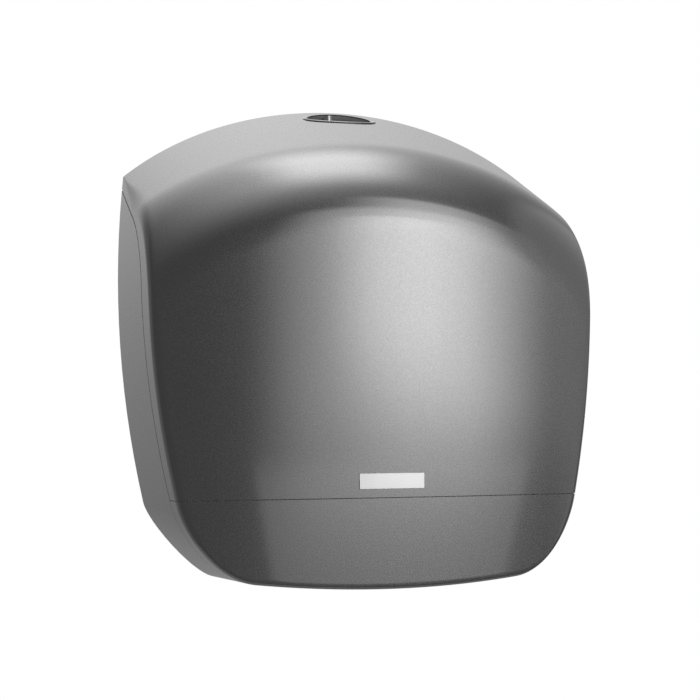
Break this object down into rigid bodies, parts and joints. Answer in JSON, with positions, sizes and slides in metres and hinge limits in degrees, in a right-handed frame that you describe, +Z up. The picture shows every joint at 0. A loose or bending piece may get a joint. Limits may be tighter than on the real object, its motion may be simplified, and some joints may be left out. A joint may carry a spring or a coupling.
{
  "type": "jumbo toilet roll dispenser",
  "caption": "Wall-mounted jumbo toilet roll dispenser: bowed cover with arched sloping roof, lower chin panel, roof lock, turning roll hub and serrated tear edges.",
  "frame": {"origin": "centre of the four wall screw holes on the wall plane, which is also where the roll's axis meets the wall", "axes": "+X to the right of someone facing the dispenser, +Y into the wall, +Z up; the front faces -Y"},
  "size_m": [0.38, 0.1328, 0.4001],
  "materials": {
    "cover": "satin graphite plastic with fine metallic flake",
    "housing": "fine satin moulded plastic",
    "hub": "satin",
    "bush": "smooth",
    "felt": "felt",
    "steel": "zinc plated or stainless",
    "plate": "bare satin silver",
    "bezel": "polished grey",
    "lock": "satin dark",
    "plug": "satin"
  },
  "bodies": {
    "housing": {"rear_housing": "housing", "spindle_flange": "housing", "flange_screws": "steel", "spindle_shaft": "steel", "brake_spring": "steel", "brake_felt": "felt", "shaft_clip": "steel", "tear_bar_left": "steel", "tear_bar_right": "steel", "tear_bar_screws": "steel", "hinge_pin_left": "steel", "hinge_pin_right": "steel", "latch_keeper": "steel", "keeper_screws": "steel"},
    "cover": {"cover_shell": "cover", "chin_panel": "cover", "chin_screws": "steel", "name_plate": "plate", "lock_bezel": "bezel", "lock_body": "lock", "lock_screws": "steel", "hinge_arm_left": "housing", "hinge_arm_right": "housing", "hinge_arm_screws": "steel", "latch_pin": "steel", "latch_spring": "steel"},
    "hub": {"roll_hub": "hub", "hub_bush_rear": "bush", "hub_bush_front": "bush", "hub_cap": "hub"},
    "button": {"push_button": "lock"},
    "key": {"key_plug": "plug", "key_cam": "steel", "cam_nut": "steel"},
    "latch": {"latch_hook": "lock"}
  },
  "joints": [
    {"name": "cover_hinge", "type": "hinge", "parent": "housing", "child": "cover", "pos_m": [0, -0.018, -0.189], "axis": [1, 0, 0], "range_deg": [0, 90]},
    {"name": "hub_spin", "type": "hinge", "parent": "housing", "child": "hub", "pos_m": [0, -0.06, 0], "axis": [0, -1, 0], "continuous": true},
    {"name": "button_press", "type": "slide", "parent": "cover", "child": "button", "axis": [0, 0, -1], "range_m": [0, 0.003], "stiffness_N_per_m": 1500, "springref_m": -0.002},
    {"name": "latch_turn", "type": "hinge", "parent": "cover", "child": "latch", "pos_m": [0.015, -0.026, 0.165], "axis": [-1, 0, 0], "range_deg": [0, 19]},
    {"name": "key_turn", "type": "hinge", "parent": "cover", "child": "key", "pos_m": [-0.0103, -0.0145, 0.167], "axis": [0, 0, -1], "range_deg": [0, 90]}
  ],
  "couplings": [
    {"joint": "latch_turn", "follows": "button_press", "rad_per_m": 110.5}
  ]
}
